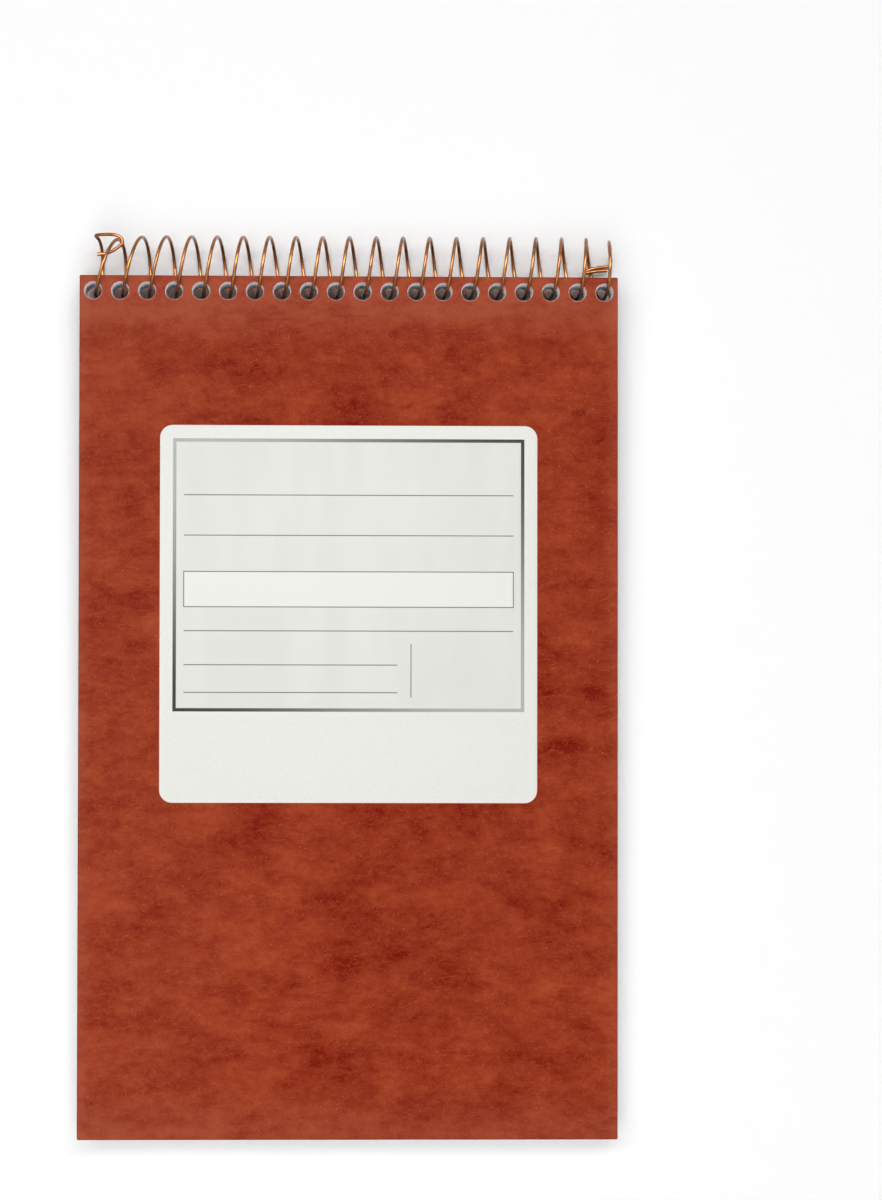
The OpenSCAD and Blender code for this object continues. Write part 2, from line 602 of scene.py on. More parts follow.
@dataclass(frozen=True)
class PressboardFinish:
    """Mottled red-brown pressboard with fibres, specks, lighter worn edges, painted sheen and painted edge
    shade.
    """

    dark: Colour = paint(120, 17, 1)
    light: Colour = paint(169, 71, 40)
    smudge: Colour = paint(120, 28, 14)
    fibre: Colour = paint(186, 96, 66)
    pale_speck: Colour = paint(206, 128, 98)
    dark_speck: Colour = paint(92, 24, 14)
    # Lighter colour of the worn edges, also used as a painted sheen near the binding and on the left half
    worn_and_sheen: Colour = paint(167, 82, 58)
    # Painted shade: the dark colour along the cut outline stands in for the shadowed bevel
    cut: Colour = paint(92, 30, 18)
    cloud_size: Triple = (24.0, 17.0, 20.0)
    cloud_gain: float = 0.65
    mottle_size: Triple = (12.0, 7.0, 9.0)
    mottle_gain: float = 2.6
    smudge_size: Triple = (8.0, 4.6, 6.0)
    smudge_band: Pair = (0.58, 0.76)
    smudge_share: float = 0.6
    fibre_size: Triple = (1.9, 0.24, 0.6)
    fibre_turns: Triple = (0.15, 1.1, -0.9)
    fibre_band: Pair = (0.62, 0.74)
    fibre_share: float = 0.3
    fibre_height: float = 0.4
    pale_specks: Triple = (1.3, 0.15, 0.25)
    pale_share: float = 0.65
    dark_specks: Triple = (2.1, 0.2, 0.2)
    dark_share: float = 0.55
    grain_size: Triple = (0.12, 0.12, 0.12)
    grain_height: float = 0.6
    # Painted sheen: lightening towards the binding that stands in for a glossy reflection of the lamps
    binding_sheen_zone: Pair = (-18.0, -5.0)
    binding_sheen: float = 0.62
    foot_zone: float = 14.0
    foot_wear: float = 0.4
    side_zone: float = 3.5
    left_wear: float = 0.4
    right_wear: float = 0.35
    # Painted sheen: a broad lightening of the left half
    left_half_sheen: float = 0.16
    wear_and_sheen_band: Pair = (0.35, 0.65)
    wear_and_sheen_gain: Pair = (0.6, 1.3)
    edge_shade_zone: float = 0.3
    edge_shade_share: float = 0.6
    roughness: Pair = (0.62, 0.78)
    specular: float = 0.02
    relief: float = 0.02 * MM

    def make(self, sizes: PadSizes) -> bpy.types.Material:
        """Builds the material.

        Args:
            sizes: The pad's sizes.

        Returns:
            The pressboard material.
        """
        bench = NodeBench("pressboard", sizes)
        clouds = bench.noise(self.cloud_size, turn=0.4, detail=1.0)
        mottle = bench.noise(self.mottle_size, detail=6.0, rough=0.8, shift=31.0)
        base = 0.5 - 0.5 * (self.cloud_gain + self.mottle_gain)
        level = bench.math("MULTIPLY_ADD", mottle, self.mottle_gain, base)
        level = bench.math("MULTIPLY_ADD", clouds, self.cloud_gain, level)
        colour = bench.mix(level, self.dark, self.light)
        smudges = bench.noise(self.smudge_size, turn=0.2, detail=3.0, rough=0.6, shift=57.0)
        dirt = bench.band(smudges, *self.smudge_band, 0.0, self.smudge_share)
        colour = bench.mix(dirt, colour, self.smudge)
        # Lighter worn edges, plus a painted sheen near the binding and on the left half
        colour = bench.mix(self.wear_and_sheen(bench, sizes, mottle), colour, self.worn_and_sheen)
        strands: Value = 0.0
        for number, turn in enumerate(self.fibre_turns):
            layer = bench.noise(self.fibre_size, turn=turn, detail=1.0, shift=17.0 * number)
            strands = bench.math("MAXIMUM", strands, bench.band(layer, *self.fibre_band))
        colour = bench.mix(bench.math("MULTIPLY", strands, self.fibre_share), colour, self.fibre)
        pale = bench.math("MULTIPLY", bench.specks(*self.pale_specks), self.pale_share)
        colour = bench.mix(pale, colour, self.pale_speck)
        dark = bench.math("MULTIPLY", bench.specks(*self.dark_specks, shift=9.0), self.dark_share)
        colour = bench.mix(dark, colour, self.dark_speck)
        # Painted shade along the cut outline, for the bevel in shadow
        colour = bench.mix(self.edge_shade(bench, sizes), colour, self.cut)
        grain = bench.noise(self.grain_size, detail=2.0, shift=5.0)
        height = bench.math("MULTIPLY", grain, self.grain_height)
        height = bench.math("MULTIPLY_ADD", strands, self.fibre_height, height)
        rough = bench.band(mottle, *NOISE_RANGE, *self.roughness)
        return bench.finish(colour, rough, height, self.relief, self.specular)

    def wear_and_sheen(self, bench: NodeBench, sizes: PadSizes, mottle: Socket) -> Socket:
        """Share of the lighter colour: worn edges, and a painted sheen towards the binding and on the left
        half.

        Args:
            bench: The material's bench.
            sizes: The pad's sizes.
            mottle: The board's mottle, which breaks it up.

        Returns:
            The share.
        """
        half = sizes.sheet_width / 2 / MM
        foot = bench.math("ADD", sizes.sheet_height / MM, bench.y)
        shares = (
            bench.band(bench.x, -half, 0.0, self.left_half_sheen, 0.0),
            bench.band(bench.x, -half, self.side_zone - half, self.left_wear, 0.0),
            bench.band(bench.x, half - self.side_zone, half, 0.0, self.right_wear),
            bench.band(foot, 0.0, self.foot_zone, self.foot_wear, 0.0),
            bench.band(bench.y, *self.binding_sheen_zone, 0.0, self.binding_sheen),
        )
        total: Value = 0.0
        for share in shares:
            total = bench.math("ADD", total, share)
        return bench.math("MULTIPLY", total, bench.band(mottle, *self.wear_and_sheen_band, *self.wear_and_sheen_gain))

    def edge_shade(self, bench: NodeBench, sizes: PadSizes) -> Socket:
        """Share of the painted shade along the board's cut outline, which stands in for the bevel in shadow.

        Args:
            bench: The material's bench.
            sizes: The pad's sizes.

        Returns:
            The share.
        """
        side = bench.math("SUBTRACT", sizes.sheet_width / 2 / MM, bench.math("ABSOLUTE", bench.x))
        middle = sizes.sheet_height / 2 / MM
        end = bench.math("SUBTRACT", middle, bench.math("ABSOLUTE", bench.math("ADD", bench.y, middle)))
        return bench.band(bench.math("MINIMUM", side, end), 0.0, self.edge_shade_zone, self.edge_shade_share, 0.0)


@dataclass(frozen=True)
class CutRimFinish:
    """Pale torn fibre where the punch went through the board, painted paler as a highlight on the rounded
    rim.
    """

    # Pale torn fibre, painted paler still as a highlight on the rounded rim
    pale: Colour = paint(242, 226, 218)
    dull: Colour = paint(206, 178, 166)
    fibre_size: Triple = (0.3, 0.3, 0.12)
    fibre_band: Pair = (0.35, 0.65)
    roughness: float = 0.8
    specular: float = 0.12
    relief: float = 0.03 * MM

    def make(self, sizes: PadSizes) -> bpy.types.Material:
        """Builds the material of the punched rims.

        Args:
            sizes: The pad's sizes.

        Returns:
            The rim material.
        """
        bench = NodeBench("punched_rim", sizes)
        fibres = bench.noise(self.fibre_size, detail=3.0, rough=0.6)
        colour = bench.mix(bench.band(fibres, *self.fibre_band), self.dull, self.pale)
        return bench.finish(colour, self.roughness, fibres, self.relief, self.specular)


@dataclass(frozen=True)
class PaperFinish:
    """White ruled writing paper, with its sheet edges, a perforated tear line and painted shade deep in the
    punched holes.
    """

    white: Colour = paint(243, 243, 250)
    shaded: Colour = paint(233, 233, 242)
    rule: Colour = paint(128, 124, 140)
    edge_light: Colour = paint(232, 231, 234)
    edge_dark: Colour = paint(196, 194, 198)
    wall_pale: Colour = paint(238, 235, 241)
    # Painted shade deep inside the punched holes
    wall_shade: Colour = paint(62, 52, 48)
    wall_front: Pair = (0.4, 1.5)
    wall_back: Pair = (-3.8, -3.2)
    wall_margin: Pair = (0.6, 0.4)
    wall_streaks: float = 0.4
    fibre_size: Triple = (0.6, 0.4, 0.4)
    shade_share: float = 0.6
    first_rule: float = 31.0
    rule_pitch: float = 7.1
    rule_width: float = 0.22
    rule_share: Pair = (0.75, 0.95)
    tear_drop: float = 12.0
    tear_width: float = 0.2
    tear_pitch: float = 0.9
    tear_cut: float = 0.6
    tear_share: float = 0.35
    tear_depth: float = 0.8
    drift_size: Triple = (14.0, 14.0, 0.35)
    sheet_gain: float = 0.55
    streak_band: Pair = (0.35, 1.15)
    roughness: float = 0.75
    specular: float = 0.0
    relief: float = 0.008 * MM

    def make(self, sizes: PadSizes) -> bpy.types.Material:
        """Builds the material.

        Args:
            sizes: The pad's sizes.

        Returns:
            The paper material.
        """
        bench = NodeBench("ruled_paper", sizes)
        fibres = bench.noise(self.fibre_size, detail=3.0)
        face = bench.mix(bench.band(fibres, *NOISE_RANGE, 0.0, self.shade_share), self.white, self.shaded)
        drop = bench.math("MULTIPLY", bench.y, -1.0)
        count = bench.math("DIVIDE", bench.math("SUBTRACT", drop, self.first_rule), self.rule_pitch)
        line = bench.math("LESS_THAN", bench.math("FRACT", count), self.rule_width / self.rule_pitch)
        rules = bench.math("MULTIPLY", line, bench.math("GREATER_THAN", count, 0.0))
        ink = bench.math("MULTIPLY", rules, bench.band(fibres, *NOISE_RANGE, *self.rule_share))
        stitches = bench.math("FRACT", bench.math("DIVIDE", bench.x, self.tear_pitch))
        row = bench.math("COMPARE", drop, self.tear_drop, self.tear_width / 2)
        tear = bench.math("MULTIPLY", bench.math("LESS_THAN", stitches, self.tear_cut), row)
        marks = bench.math("MAXIMUM", ink, bench.math("MULTIPLY", tear, self.tear_share))
        face = bench.mix(marks, face, self.rule)
        streaks = self.streaks(bench, sizes)
        edge = bench.mix(streaks, self.edge_dark, self.edge_light)
        # Hole walls: pale near the faces, painted shade deep inside
        edge = bench.mix(self.in_hole(bench, sizes), edge, self.shaded_wall(bench, streaks))
        up = bench.math("ABSOLUTE", bench.parts(bench.normal)[2])
        colour = bench.mix(bench.math("GREATER_THAN", up, 0.5), edge, face)
        height = bench.math("SUBTRACT", fibres, bench.math("MULTIPLY", tear, self.tear_depth))
        return bench.finish(colour, self.roughness, height, self.relief, self.specular)

    def in_hole(self, bench: NodeBench, sizes: PadSizes) -> Socket:
        """Mask of the zone along the binding in which the punched holes' walls lie.

        Args:
            bench: The material's bench.
            sizes: The pad's sizes.

        Returns:
            The mask.
        """
        beside, over = self.wall_margin
        half = (sizes.sheet_width / 2 / MM - beside, sizes.hole_radius / MM + over)
        return bench.rectangle(bench.x, bench.y, (0.0, -sizes.hole_inset / MM), half)

    def shaded_wall(self, bench: NodeBench, streaks: Socket) -> Socket:
        """Colour of a punched hole's wall, pale near both faces and darkened by painted shade deep inside.

        Args:
            bench: The material's bench.
            streaks: The level of the stacked edges.

        Returns:
            The colour.
        """
        front = bench.band(bench.z, *self.wall_front)
        back = bench.band(bench.z, *self.wall_back, 1.0, 0.0)
        share = bench.math("MULTIPLY", streaks, self.wall_streaks)
        plain = bench.mix(share, self.wall_pale, self.edge_light)
        return bench.mix(bench.math("MAXIMUM", front, back), self.wall_shade, plain)

    def streaks(self, bench: NodeBench, sizes: PadSizes) -> Socket:
        """Light and dark streaks of the stacked edges, one level for each sheet.

        Args:
            bench: The material's bench.
            sizes: The pad's sizes.

        Returns:
            A level from 0 to 1.
        """
        sheet = bench.math("FLOOR", bench.math("DIVIDE", bench.z, sizes.sheet_thickness / MM))
        chance = bench.add("ShaderNodeTexWhiteNoise")
        chance.noise_dimensions = "1D"
        bench.join(sheet, chance.inputs["W"])
        drift = bench.noise(self.drift_size, detail=2.0, shift=3.0)
        both = bench.math("MULTIPLY_ADD", chance.outputs["Value"], self.sheet_gain, drift)
        return bench.band(both, *self.streak_band)


@dataclass(frozen=True)
class LabelFinish:
    """Off-white label with a printed frame under a painted sheen, a blank box and writing rules."""

    stock: Colour = paint(234, 234, 228)
    stock_shade: Colour = paint(230, 230, 224)
    field_tint: Colour = paint(226, 227, 221)
    field_shade: Colour = paint(222, 223, 217)
    box_tint: Colour = paint(234, 234, 229)
    # Light and dark ends of the painted sheen on the printed frame
    ink: Colour = paint(104, 104, 102)
    frame_sheen_dark: Colour = paint(52, 53, 51)
    frame_sheen_light: Colour = paint(178, 179, 176)
    frame_centre: Pair = (0.0, 9.15)
    frame_half: Pair = (41.4, 32.15)
    frame_width: float = 0.8
    box_centre: Pair = (0.0, 5.8)
    box_half: Pair = (38.7, 4.05)
    line_width: float = 0.22
    rules: tuple[Triple, ...] = (
        (-38.8, 38.8, 28.0),
        (-38.8, 38.8, 18.5),
        (-38.8, 38.8, -4.0),
        (-38.8, 11.5, -12.0),
        (-38.8, 11.5, -18.5),
    )
    divider: Triple = (14.7, -19.6, -7.0)
    sheen_band: Pair = (-0.9, 0.9)
    fibre_size: Triple = (0.5, 0.5, 0.5)
    satin_size: Triple = (9.0, 40.0, 20.0)
    roughness: float = 0.5
    specular: float = 0.1
    relief: float = 0.004 * MM

    def make(self, sizes: PadSizes) -> bpy.types.Material:
        """Builds the material.

        Args:
            sizes: The pad's sizes.

        Returns:
            The label material.
        """
        bench = NodeBench("printed_label", sizes)
        up = bench.math("SUBTRACT", bench.y, sizes.label_centre.y / MM)

        def area(centre: Pair, half: Pair) -> Socket:
            """Mask of a rectangle on the label."""
            return bench.rectangle(bench.x, up, centre, half)

        fibres = bench.noise(self.fibre_size, detail=3.0)
        colour = bench.mix(bench.band(fibres, *NOISE_RANGE), self.stock, self.stock_shade)
        # Painted sheen: the printed frame turns from light to dark across its diagonals, like metallic ink
        # catching the light
        slant = bench.math("SUBTRACT", up, self.frame_centre[1])
        slant = bench.math("DIVIDE", slant, self.frame_half[1])
        slant = bench.math("MULTIPLY", slant, bench.math("DIVIDE", bench.x, self.frame_half[0]))
        frame_sheen = bench.mix(bench.band(slant, *self.sheen_band), self.frame_sheen_light, self.frame_sheen_dark)
        colour = bench.mix(area(self.frame_centre, self.frame_half), colour, frame_sheen)
        satin = bench.noise(self.satin_size, detail=2.0, shift=7.0)
        inner = tuple(half - self.frame_width for half in self.frame_half)
        field_colour = bench.mix(bench.band(satin, *NOISE_RANGE), self.field_tint, self.field_shade)
        colour = bench.mix(area(self.frame_centre, inner), colour, field_colour)
        box_line = tuple(half + self.line_width for half in self.box_half)
        colour = bench.mix(area(self.box_centre, box_line), colour, self.ink)
        colour = bench.mix(area(self.box_centre, self.box_half), colour, self.box_tint)
        for left, right, row in self.rules:
            rule = area(((left + right) / 2, row), ((right - left) / 2, self.line_width / 2))
            colour = bench.mix(rule, colour, self.ink)
        place, low, high = self.divider
        stroke = area((place, (low + high) / 2), (self.line_width / 2, (high - low) / 2))
        colour = bench.mix(stroke, colour, self.ink)
        return bench.finish(colour, self.roughness, fibres, self.relief, self.specular)


@dataclass(frozen=True)
class WireFinish:
    """Copper-coloured drawn wire, a little uneven in tone, with painted shade where it runs inside the block.
    """

    bright: Colour = paint(152, 93, 45)
    dull: Colour = paint(114, 66, 30)
    # Painted shade on the wire where it runs inside the block, hidden in the holes
    inside_shade: Colour = paint(52, 28, 16)
    inside_shade_zone: Pair = (2.6, 4.6)
    inside_shade_share: float = 0.85
    lacquer: float = 0.35
    lacquer_rough: float = 0.2
    tone_size: Triple = (2.4, 2.4, 2.4)
    streak_size: Triple = (0.12, 0.5, 0.5)
    roughness: Pair = (0.22, 0.34)
    specular: float = 0.5
    relief: float = 0.003 * MM

    def make(self, sizes: PadSizes) -> bpy.types.Material:
        """Builds the material.

        Args:
            sizes: The pad's sizes.

        Returns:
            The wire material.
        """
        bench = NodeBench("copper_wire", sizes)
        tone = bench.noise(self.tone_size, detail=3.0)
        streaks = bench.noise(self.streak_size, detail=2.0, shift=11.0)
        colour = bench.mix(bench.band(tone, *NOISE_RANGE), self.dull, self.bright)
        # Painted shade: darker inside the block, where the holes hide the wire
        depth = bench.math("ABSOLUTE", bench.z)
        inside = bench.band(depth, *self.inside_shade_zone, self.inside_shade_share, 0.0)
        inside = bench.math("MULTIPLY", inside, bench.math("LESS_THAN", bench.y, 0.0))
        colour = bench.mix(inside, colour, self.inside_shade)
        bench.shader.inputs["Metallic"].default_value = 1.0
        bench.shader.inputs["Coat Weight"].default_value = self.lacquer
        bench.shader.inputs["Coat Roughness"].default_value = self.lacquer_rough
        rough = bench.band(streaks, *NOISE_RANGE, *self.roughness)
        return bench.finish(colour, rough, streaks, self.relief, self.specular)


@dataclass
class Cover:
    """One punched pressboard cover."""

    sizes: PadSizes
    name: str
    body: Body
    low: float
    high: float
    corner: float = 0.35 * MM
    rim: float = 0.09 * MM
    edge: float = 0.12 * MM
    hole_sides: int = 40
    hole_slack: float = 0.02 * MM
    rim_spread: float = 1.2
    corner_cut: float = 0.303

    def build(self) -> bpy.types.Object:
        """Cuts, punches and softens the board.

        Returns:
            The board, in the pad's own frame.
        """
        sizes = self.sizes
        half = sizes.sheet_width / 2
        low = Vector((-half, -sizes.sheet_height, self.low))
        board = slab(self.name, low, Vector((half, 0, self.high)))
        bevel_edges(board, upright, self.corner, 4)
        punch_holes(board, sizes, self.low, self.high, self.hole_sides)
        bevel_edges(board, self.on_rim, self.rim, 2)
        bevel_edges(board, self.on_outline, self.edge, 2)
        return board

    def on_face(self, first: Vector, second: Vector) -> bool:
        """Whether an edge lies in the board's front or back face."""
        return abs(first.z - second.z) < LEVEL and all(
            min(abs(point.z - self.low), abs(point.z - self.high)) < LEVEL for point in (first, second)
        )

    def on_rim(self, first: Vector, second: Vector) -> bool:
        """Whether an edge runs round a hole on one of the faces."""
        return self.on_face(first, second) and all(
            abs(self.sizes.hole_offset(point) - self.sizes.hole_radius) < self.hole_slack
            for point in (first, second, (first + second) / 2)
        )

    def on_outline(self, first: Vector, second: Vector) -> bool:
        """Whether an edge runs along the board's outline on one of the faces."""
        return self.on_face(first, second) and all(
            self.sizes.inset(point) < self.corner_cut * self.corner
            for point in (first, second, (first + second) / 2)
        )

    def dress(self, board: bpy.types.Object, pressboard: bpy.types.Material, rim: bpy.types.Material) -> None:
        """Gives the board its finishes and settles it on its body.

        Args:
            board: The built board.
            pressboard: Finish of the board.
            rim: Finish of the punched rims.
        """
        coat(board, pressboard, rim)
        reach = self.sizes.hole_radius + self.rim_spread * self.rim
        for face in board.data.polygons:
            points = [board.data.vertices[index].co for index in face.vertices]
            face.material_index = int(all(self.sizes.hole_offset(point) < reach for point in points))
        settle(board, self.sizes)
        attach(board, self.body.value)
        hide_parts(self.body.value)


@dataclass
class SheetBlock:
    """The punched sheets, each one a solid of its own."""

    sizes: PadSizes
    trim: float = 0.12 * MM
    gap: float = 0.006 * MM
    hole_sides: int = 16
    scatter: float = 0.05 * MM
    drift: float = 0.05 * MM
    drift_waves: float = 1.3
    drift_phase: float = 0.6
    drift_along: float = -0.5
    turn: float = math.radians(0.012)
    seed: int = 11

    def build(self) -> bpy.types.Object:
        """Cuts and punches one sheet, stacks copies of it and shifts each a little.

        Returns:
            The stack, in the pad's own frame.
        """
        sizes = self.sizes
        half = sizes.sheet_width / 2 - self.trim
        low = -sizes.half_block + self.gap / 2
        high = low + sizes.sheet_thickness - self.gap
        foot = -sizes.sheet_height + self.trim
        stack = slab("sheet_stack", Vector((-half, foot, low)), Vector((half, -self.trim, high)))
        punch_holes(stack, sizes, low, high, self.hole_sides)
        points = len(stack.data.vertices)
        repeat(stack, sizes.sheet_count, (0, 0, sizes.sheet_thickness))
        self.loosen(stack, points)
        return stack

    def loosen(self, stack: bpy.types.Object, points: int) -> None:
        """Shifts and turns each sheet by a hair, as sheets lie on a wire.

        Args:
            stack: The stack of sheets.
            points: Number of vertices of one sheet.
        """
        draw = random.Random(self.seed)
        count = self.sizes.sheet_count
        place = np.empty(len(stack.data.vertices) * 3, np.float64)
        stack.data.vertices.foreach_get("co", place)
        sheets = place.reshape(count, points, 3)
        for number in range(count):
            wave = 2 * math.pi * number / count * self.drift_waves
            sway = math.sin(wave + self.drift_phase) * self.drift
            across = sway + draw.uniform(-self.scatter, self.scatter)
            along = self.drift_along * sway + draw.uniform(-self.scatter, self.scatter)
            angle = draw.uniform(-self.turn, self.turn)
            before = sheets[number, :, 0].copy()
            sheets[number, :, 0] += across - angle * (sheets[number, :, 1] + self.sizes.hole_inset)
            sheets[number, :, 1] += along + angle * before
        stack.data.vertices.foreach_set("co", place)
        stack.data.update()

    def dress(self, stack: bpy.types.Object, paper: bpy.types.Material) -> None:
        """Gives the sheets their finish and settles them on their body.

        Args:
            stack: The built stack.
            paper: Finish of the sheets.
        """
        coat(stack, paper)
        settle(stack, self.sizes)
        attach(stack, Body.SHEETS.value)
        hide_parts("page_block")


@dataclass
class Label:
    """The square paper label on the front cover."""

    sizes: PadSizes
    corner_segments: int = 14
    edge: float = 0.03 * MM

    def build(self) -> bpy.types.Object:
        """Cuts the label, rounds its corners and softens its upper edge.

        Returns:
            The label, in the pad's own frame.
        """
        sizes = self.sizes
        half = Vector((sizes.label_side / 2, sizes.label_side / 2, 0))
        base = sizes.label_centre
        rise = Vector((0, 0, sizes.label_thickness))
        top = sizes.half_pad + sizes.label_thickness
        label = slab("paper_label", base - half, base + half + rise)
        bevel_edges(label, upright, sizes.label_corner, self.corner_segments)
        bevel_edges(label, lambda first, second: min(first.z, second.z) > top - LEVEL, self.edge, 2)
        return label

    def dress(self, label: bpy.types.Object, print_finish: bpy.types.Material) -> None:
        """Gives the label its print and settles it on the front cover.

        Args:
            label: The built label.
            print_finish: Finish of the label.
        """
        coat(label, print_finish)
        settle(label, self.sizes)
        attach(label, Body.FRONT.value)
        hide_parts("front_label")


@dataclass(frozen=True)
class Strand:
    """One length of wire: points along it, and at each the way to the next for one step."""

    points: tuple[Vector, ...]
    steps: tuple[Vector, ...]


def strand_through(
    points: Sequence[Vector], first: Vector | None = None, last: Vector | None = None
) -> Strand:
    """A strand through points, with the direction at each from its neighbours.

    Args:
        points: The points in order.
        first: Direction at the first point, where it is known.
        last: Direction at the last point, where it is known.

    Returns:
        The strand.
    """
    end = len(points) - 1
    steps = [(points[min(at + 1, end)] - points[max(at - 1, 0)]) / 2 for at in range(end + 1)]
    if first is not None:
        steps[0] = first.normalized() * (points[1] - points[0]).length
    if last is not None:
        steps[end] = last.normalized() * (points[end] - points[end - 1]).length
    return Strand(tuple(points), tuple(steps))


@dataclass
class WireCoil:
    """The spiral wire with its crimped ends.

    The wire is made in three pieces: its front arcs inside the sheets, its front runs and its back runs,
    with the crimped ends on the back runs.
    """

    sizes: PadSizes
    finish_angle: float = -math.acos(0.5)
    left_power: int = 3
    right_power: int = 6
    back_power: float = 0.6
    drop_power: int = 16
    inside_spans: int = 6
    run_spans: int = 12
    back_spans: int = 16
    finish_spans: int = 6
    smoothness: int = 4
    roundness: int = 4
    merge: float = 0.0005 * MM
    start_crimp: tuple[Triple, ...] = (
        (0.8, 2.55, 2.6), (1.75, 2.55, 2.6), (3.1, 2.8, 2.5), (4.35, 3.35, 2.4), (5.4, 4.05, 2.3),
        (6.2, 4.65, 2.25), (6.65, 5.2, 2.2), (6.7, 5.88, 2.2), (6.35, 6.52, 2.2), (5.65, 7, 2.15),
        (4.8, 7.26, 2), (3.8, 7.4, 1.65), (2.75, 7.48, 1.2), (1.6, 7.52, 0.6), (0.9, 7.52, 0.2),
        (0.46, 7.48, -0.1), (0.25, 7.4, -0.5), (0.32, 7.27, -0.95), (0.58, 7.08, -1.45), (0.86, 6.8, -2.1),
        (1.1, 6.3, -3.28), (1.28, 5.5, -4.5), (1.42, 4.2, -5.72), (1.5, 2.1, -6.78), (1.42, -0.6, -7.07),
        (1.28, -2.9, -6.48), (1, -4.65, -5.37), (0.65, -6, -3.8), (0.4, -6.88, -1.78),
    )
    finish_crimp: tuple[Triple, ...] = (
        (2.72, 2.65, -6.4), (2.62, 2.2, -6.48), (2.38, 1.85, -6.48), (1.95, 1.67, -6.4), (1.4, 1.57, -6.3),
        (0.3, 1.41, -6.18), (-1.45, 1.1, -6), (-2.4, 0.83, -6), (-3.1, 0.61, -6.05), (-3.5, 0.5, -5.95),
        (-3.66, 0.29, -5.65), (-3.5, 0.08, -5.35), (-3.1, -0.03, -5.22), (-2.4, 0.1, -5.28),
        (-0.7, 0.36, -5.35), (0.3, 0.46, -5.45), (1.8, 0.54, -5.55),
    )

    @property
    def cover_angle(self) -> float:
        """Angle round the coil, from its peak, at which the wire passes the outer face of a cover."""
        return math.pi - math.asin(self.sizes.half_pad / self.sizes.coil_radius)

    def lean(self, place: float, angle: float) -> float:
        """How far a loop leans to the right.

        Args:
            place: Place along the binding, from -1 at the first peak to 1 at the last one.
            angle: Angle round the coil in radians, 0 at the peak and positive in front.

        Returns:
            The lean in metres.
        """
        height = (1 + math.cos(angle)) / 2
        share = height if angle > 0 else height**self.back_power
        if place < 0:
            return -self.sizes.left_lean * place**self.left_power * share
        return -self.sizes.right_lean * place**self.right_power * share

    def point(self, loop: int, angle: float) -> Vector:
        """Point on the coil.

        Args:
            loop: Number of the loop from the left, from 0.
            angle: Angle round the coil in radians, from pi in front to -pi behind.

        Returns:
            The point in the pad's own frame.
        """
        sizes = self.sizes
        turns = loop + (math.pi - angle) / (2 * math.pi)
        place = 2 * (turns - 0.5) / (sizes.hole_count - 1) - 1
        spread = sizes.left_spread * min(place, 0.0) ** 2 * math.sin(angle)
        height = (1 + math.cos(angle)) / 2
        drop = sizes.end_drop * min(abs(place), 1.0) ** self.drop_power * height**2
        along = sizes.first_hole + sizes.hole_pitch * turns + sizes.wire_shift
        up = sizes.coil_y + sizes.coil_radius * math.cos(angle) - drop
        out = sizes.coil_radius * math.sin(angle)
        return Vector((along + self.lean(place, angle) - spread, up, out))

    def arc(self, loop: int, start: float, end: float, spans: int) -> Strand:
        """A stretch of one loop.

        Args:
            loop: Number of the loop.
            start: Angle at which it starts.
            end: Angle at which it ends.
            spans: Number of steps between its points.

        Returns:
            The strand.
        """
        step = (end - start) / spans
        share = 0.01
        angles = [start + step * number for number in range(spans + 1)]
        points = tuple(self.point(loop, angle) for angle in angles)
        steps = tuple(
            (self.point(loop, angle + share * step) - self.point(loop, angle - share * step)) / (2 * share)
            for angle in angles
        )
        return Strand(points, steps)

    def start_strand(self) -> Strand:
        """The hooked start, from its tip down the back into the first hole."""
        origin = Vector((self.sizes.first_hole, self.sizes.coil_y, 0))
        points = [origin + Vector(bend) * MM for bend in self.start_crimp]
        joint = self.arc(0, math.pi, self.cover_angle, 1)
        return strand_through([*points, joint.points[0]], last=joint.steps[0])

    def finish_strand(self) -> Strand:
        """The finish, from the last loop to the one before it and back."""
        last_hole = -self.sizes.first_hole
        origin = Vector((last_hole, self.sizes.coil_y, 0))
        points = [origin + Vector(bend) * MM for bend in self.finish_crimp]
        joint = self.arc(self.sizes.hole_count - 1, 0.0, self.finish_angle, self.run_spans)
        return strand_through([joint.points[-1], *points], first=joint.steps[-1])

    def sweep(self, name: str, strands: Sequence[Strand]) -> bpy.types.Object:
        """Draws round wire along strands and makes it a mesh.

        Args:
            name: Name of the piece.
            strands: The strands.

        Returns:
            The closed mesh, in the pad's own frame.
        """
        bpy.ops.object.select_all(action="DESELECT")
        bpy.ops.curve.primitive_bezier_curve_add()
        piece = bpy.context.active_object
        piece.name = name
        curve = piece.data
        curve.splines.clear()
        curve.dimensions = "3D"
        curve.resolution_u = self.smoothness
        curve.bevel_depth = self.sizes.wire_radius
        curve.bevel_resolution = self.roundness
        curve.use_fill_caps = True
        for strand in strands:
            spline = curve.splines.new("BEZIER")
            spline.bezier_points.add(len(strand.points) - 1)
            for knot, point, step in zip(spline.bezier_points, strand.points, strand.steps):
                knot.handle_left_type = knot.handle_right_type = "FREE"
                knot.co = point
                knot.handle_left = point - step / 3
                knot.handle_right = point + step / 3
        bpy.ops.object.convert(target="MESH")
        with editing(piece, "VERT"):
            bpy.ops.mesh.select_all(action="SELECT")
            bpy.ops.mesh.remove_doubles(threshold=self.merge)
            bpy.ops.mesh.normals_make_consistent(inside=False)
        return piece

